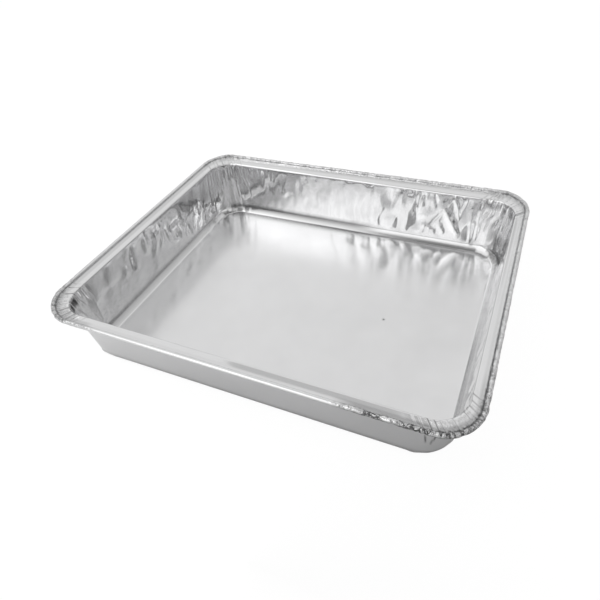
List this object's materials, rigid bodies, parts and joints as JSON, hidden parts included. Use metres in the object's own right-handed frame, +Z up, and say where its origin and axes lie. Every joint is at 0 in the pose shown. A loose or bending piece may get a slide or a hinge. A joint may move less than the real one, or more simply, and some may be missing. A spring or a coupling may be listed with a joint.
{
  "type": "foil roasting pan",
  "caption": "Shallow rectangular roasting pan pressed from one sheet of thin foil, with leaning walls, a sloped foot band, pleated corners and a rim with a rolled edge.",
  "frame": {"origin": "centre of the underside of the floor, in plan the centre of the outline", "axes": "+Z up out of the open side, +X along the longer side of the outline, +Y towards the side whose rim is bent up most"},
  "size_m": [0.324, 0.264, 0.0582],
  "materials": {
    "foil": "satin rolled foil, brighter on the rolled edge and along the folds"
  },
  "bodies": {
    "root": {"foil_pan": "foil"}
  },
  "joints": []
}
